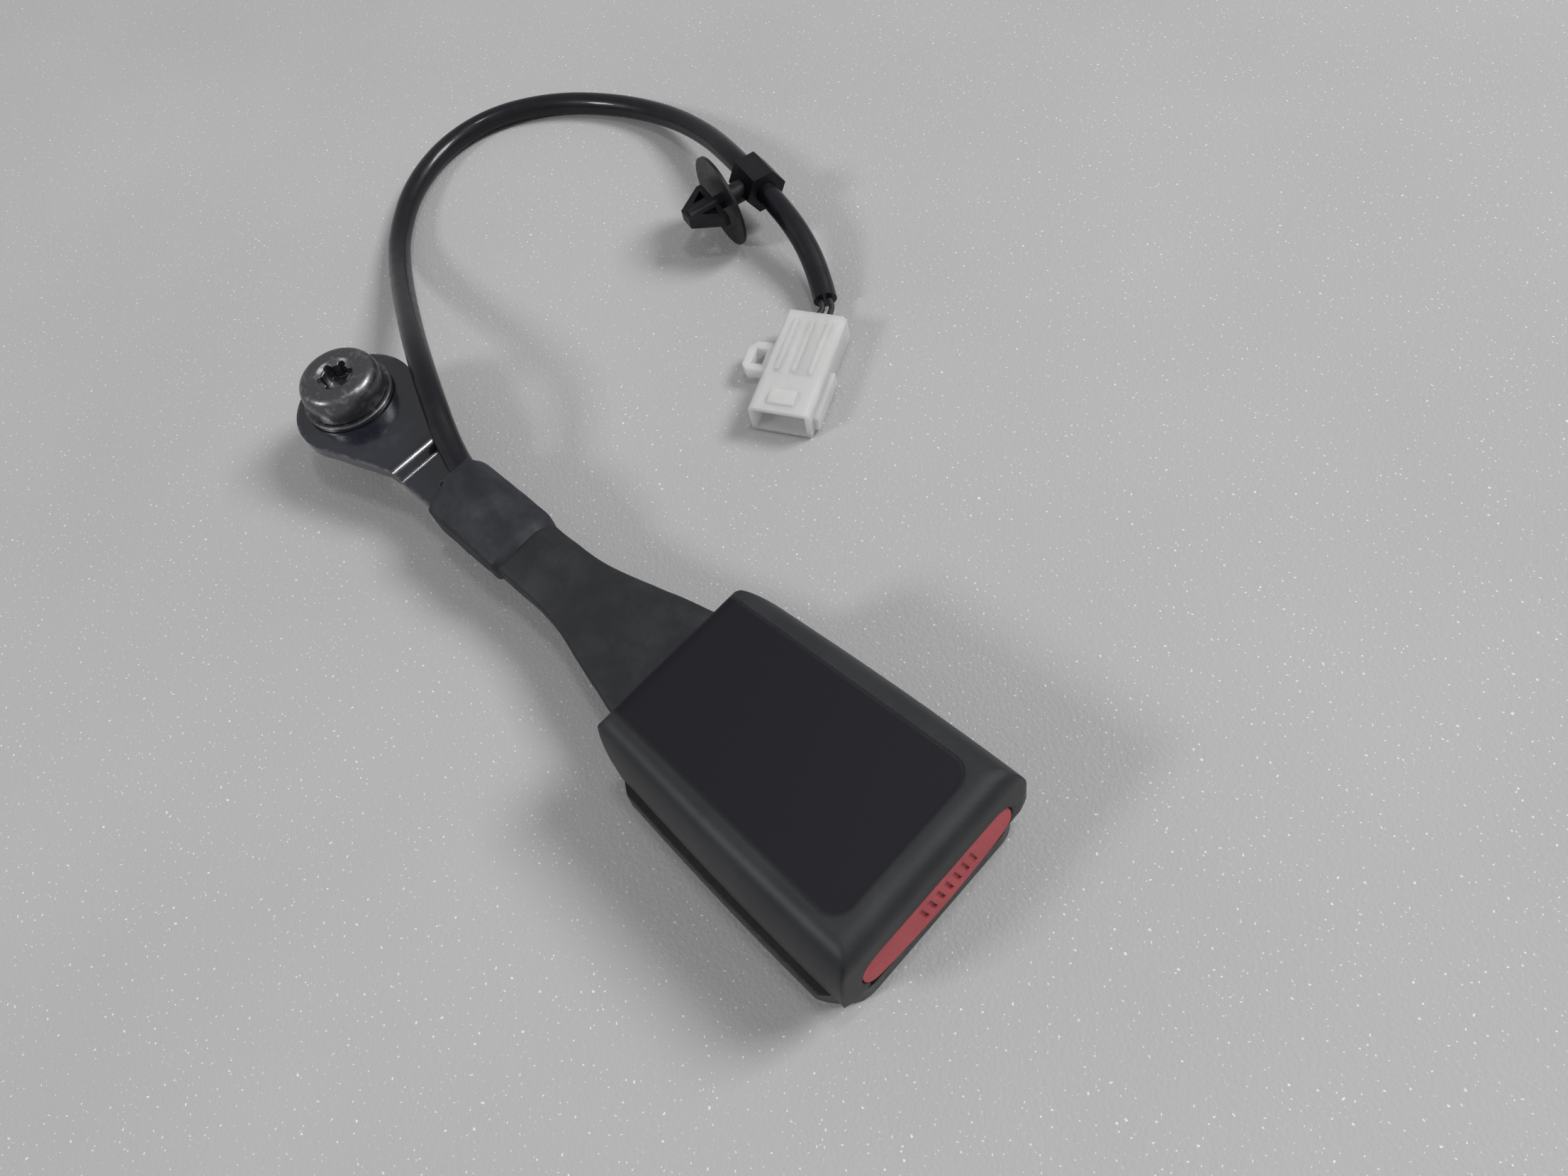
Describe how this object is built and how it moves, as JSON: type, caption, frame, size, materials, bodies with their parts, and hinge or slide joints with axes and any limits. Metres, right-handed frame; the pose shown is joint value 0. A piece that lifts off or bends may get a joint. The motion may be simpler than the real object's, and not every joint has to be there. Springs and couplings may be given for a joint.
{
  "type": "seat belt buckle",
  "caption": "Vehicle seat belt buckle on a steel anchor stalk, with press button, latch, bolt, and a switch lead in conduit with clip and connector.",
  "frame": {"origin": "axis of the anchor bolt on the underside of the anchor bracket's eye", "axes": "+X along the stalk towards the mouth of the buckle, +Y to the side the lead leaves, +Z towards the bolt's head"},
  "size_m": [0.2593, 0.1538, 0.0289],
  "materials": {
    "black_coated_steel": "smooth black dip coat, glossy",
    "bolt_steel": "zinc-grey steel, worn and speckled",
    "mechanism_steel": "plated pressed steel",
    "spring_steel": "bright drawn wire",
    "grained_plastic": "fine-grained black moulding",
    "red_plastic": "satin red moulding",
    "sleeve_plastic": "soft dark grey sleeve, satin",
    "shrink_tube": "dark shrink tube, satin",
    "conduit_plastic": "black tube, half gloss",
    "black_nylon": "black nylon moulding",
    "natural_nylon": "natural white nylon, slightly translucent",
    "white_nylon": "white nylon moulding",
    "wire_insulation": "thin black insulation",
    "tinned_brass": "tinned flat terminals"
  },
  "bodies": {
    "stalk": {"anchor_bracket": "black_coated_steel", "strap_rivet": "mechanism_steel", "sleeve_boot": "sleeve_plastic", "shrink_band": "shrink_tube", "upper_cover": "grained_plastic", "lower_cover": "grained_plastic", "buckle_frame": "mechanism_steel", "latch_pin": "mechanism_steel", "latch_spring": "spring_steel", "ejector_spring": "spring_steel", "button_springs": "spring_steel", "buckle_switch": "black_nylon", "inner_leads": "wire_insulation", "wire_conduit": "conduit_plastic", "end_leads": "wire_insulation", "harness_clip": "black_nylon", "connector_housing": "natural_nylon", "connector_terminals": "tinned_brass"},
    "bolt": {"anchor_bolt": "bolt_steel", "bolt_washer": "bolt_steel", "bolt_retainer": "black_nylon"},
    "button": {"press_button": "red_plastic"},
    "lock_bar": {"lock_pin": "mechanism_steel"},
    "ejector": {"ejector": "white_nylon"},
    "latch": {"latch_plate": "mechanism_steel"},
    "plunger": {"switch_plunger": "white_nylon"}
  },
  "joints": [
    {"name": "bolt_turn", "type": "hinge", "parent": "stalk", "child": "bolt", "pos_m": [0, 0, 0], "axis": [0, 0, 1], "continuous": true},
    {"name": "button_press", "type": "slide", "parent": "stalk", "child": "button", "axis": [-1, 0, 0], "range_m": [0, 0.005], "stiffness_N_per_m": 1200, "springref_m": -0.003, "deforming": ["button_springs"]},
    {"name": "lock_pin_slide", "type": "slide", "parent": "stalk", "child": "lock_bar", "axis": [-1, 0, 0], "range_m": [0, 0.005]},
    {"name": "ejector_slide", "type": "slide", "parent": "stalk", "child": "ejector", "axis": [-1, 0, 0], "range_m": [0, 0.012], "stiffness_N_per_m": 300, "springref_m": -0.004, "deforming": ["ejector_spring"]},
    {"name": "latch_swing", "type": "hinge", "parent": "stalk", "child": "latch", "pos_m": [0.139, 0, 0.0046], "axis": [0, 1, 0], "range_deg": [0, 10]},
    {"name": "plunger_slide", "type": "slide", "parent": "stalk", "child": "plunger", "axis": [0, 1, 0], "range_m": [0, 0.001]}
  ],
  "couplings": [
    {"joint": "lock_pin_slide", "follows": "button_press", "ratio": 1},
    {"joint": "latch_swing", "follows": "ejector_slide", "rad_per_m": 14.54},
    {"joint": "plunger_slide", "follows": "ejector_slide", "ratio": 0.0833}
  ]
}
